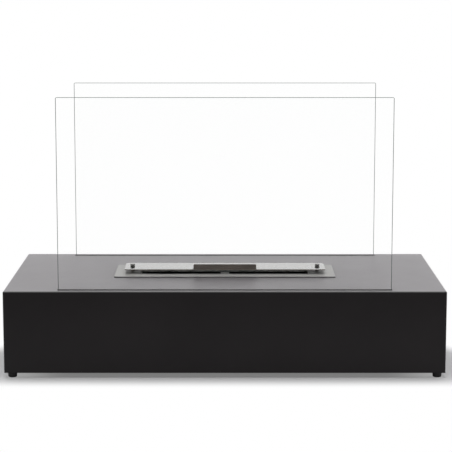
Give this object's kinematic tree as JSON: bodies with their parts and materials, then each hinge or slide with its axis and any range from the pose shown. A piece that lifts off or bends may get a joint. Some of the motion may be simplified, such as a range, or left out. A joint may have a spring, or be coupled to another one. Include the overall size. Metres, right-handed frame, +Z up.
{
  "type": "bioethanol fireplace",
  "caption": "Free-standing bioethanol fireplace: a low black steel base on rubber feet, a glass pane along the front and the back, and a lift-out burner with a raised lid.",
  "frame": {"origin": "on the floor, under the centre of the base", "axes": "+X to the right along the longest side, +Y to the back, +Z up; the front faces -Y"},
  "size_m": [0.7, 0.35, 0.4445],
  "materials": {
    "powder_black": "satin black powder coat",
    "zinc_sheet": "zinc-plated steel sheet",
    "shield_aluminium": "mill-finish sheet",
    "black_silicone": "matte silicone",
    "fastener_steel": "zinc-plated",
    "foot_rubber": "matte rubber",
    "clear_glass": "clear tempered glass, polished arrises",
    "satin_stainless": "satin stainless steel",
    "tank_stainless": "plain rolled stainless steel",
    "wool": "soft ceramic fibre",
    "post_steel": "turned stainless steel",
    "polished_stainless": "polished stainless steel"
  },
  "bodies": {
    "base": {"body_shell": "powder_black", "bottom_panel": "powder_black", "fixing_cleats": "powder_black", "left_rib": "zinc_sheet", "right_rib": "zinc_sheet", "heat_shield": "shield_aluminium", "front_channel": "zinc_sheet", "rear_channel": "zinc_sheet", "front_liner": "black_silicone", "rear_liner": "black_silicone", "weld_studs": "fastener_steel", "stud_nuts": "fastener_steel", "panel_screws": "fastener_steel", "foot_screws": "fastener_steel", "foot_nuts": "fastener_steel", "shield_screws": "fastener_steel", "foot_front_left": "foot_rubber", "foot_rear_left": "foot_rubber", "foot_front_right": "foot_rubber", "foot_rear_right": "foot_rubber"},
    "burner": {"burner_plate": "satin_stainless", "burner_tank": "tank_stainless", "ceramic_wool": "wool", "wool_grid": "tank_stainless", "lid_posts": "post_steel", "post_spacers": "post_steel", "post_nuts": "fastener_steel"},
    "lid": {"snuffer_lid": "polished_stainless"},
    "front_pane": {"front_glass": "clear_glass"},
    "rear_pane": {"rear_glass": "clear_glass"}
  },
  "joints": [
    {"name": "burner_lift", "type": "slide", "parent": "base", "child": "burner", "axis": [0, 0, 1], "range_m": [0, 0.09]},
    {"name": "lid_lift", "type": "slide", "parent": "burner", "child": "lid", "axis": [0, 0, 1], "range_m": [0, 0.03]},
    {"name": "front_pane_lift", "type": "slide", "parent": "base", "child": "front_pane", "axis": [0, 0, 1], "range_m": [0, 0.04]},
    {"name": "rear_pane_lift", "type": "slide", "parent": "base", "child": "rear_pane", "axis": [0, 0, 1], "range_m": [0, 0.04]}
  ]
}
